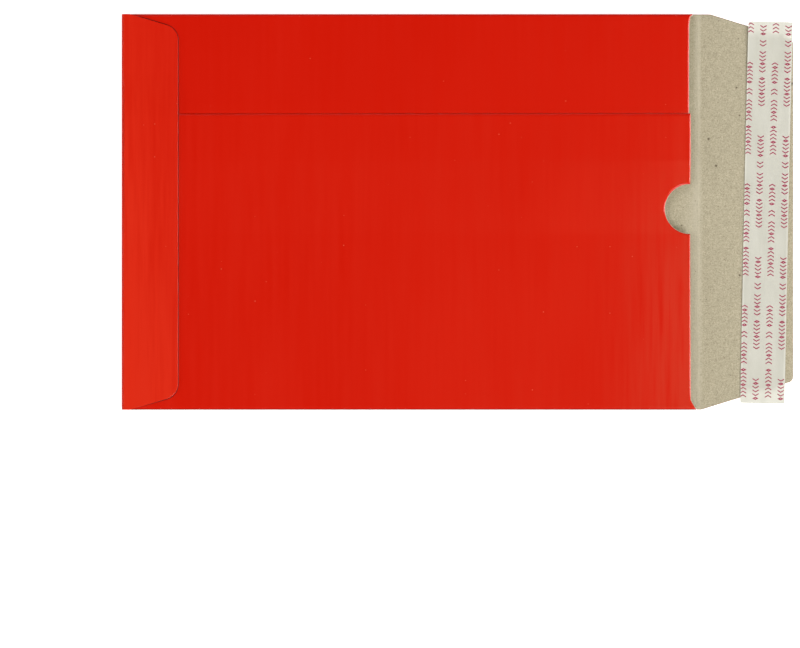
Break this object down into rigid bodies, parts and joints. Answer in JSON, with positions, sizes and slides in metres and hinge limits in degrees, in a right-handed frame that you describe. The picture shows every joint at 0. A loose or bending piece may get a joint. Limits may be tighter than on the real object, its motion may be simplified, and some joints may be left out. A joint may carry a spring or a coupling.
{
  "type": "cardboard envelope",
  "caption": "Flat board mailer envelope with a glued back seam, an open pocket with a thumb notch, and a creased closing flap with a sealing strip under its release liner.",
  "frame": {"origin": "middle of the front panel's outer face, on which the envelope lies", "axes": "+X from the closed end towards the mouth and the open flap, +Y towards the upper back strip, +Z out of the seamed back"},
  "size_m": [0.2748, 0.162, 0.0068],
  "materials": {
    "printed_board": "gloss red outside, plain grey inside",
    "adhesive_film": "clear tacky film",
    "liner_paper": "smooth coated paper with printed marks"
  },
  "bodies": {
    "pocket": {"envelope_board": "printed_board"},
    "flap": {"closing_flap": "printed_board", "adhesive_strip": "adhesive_film", "release_liner": "liner_paper"}
  },
  "joints": [
    {"name": "flap_crease", "type": "hinge", "parent": "pocket", "child": "flap", "pos_m": [0.118, 0, 0.00365], "axis": [0, -1, 0], "range_deg": [0, 179.5]}
  ]
}
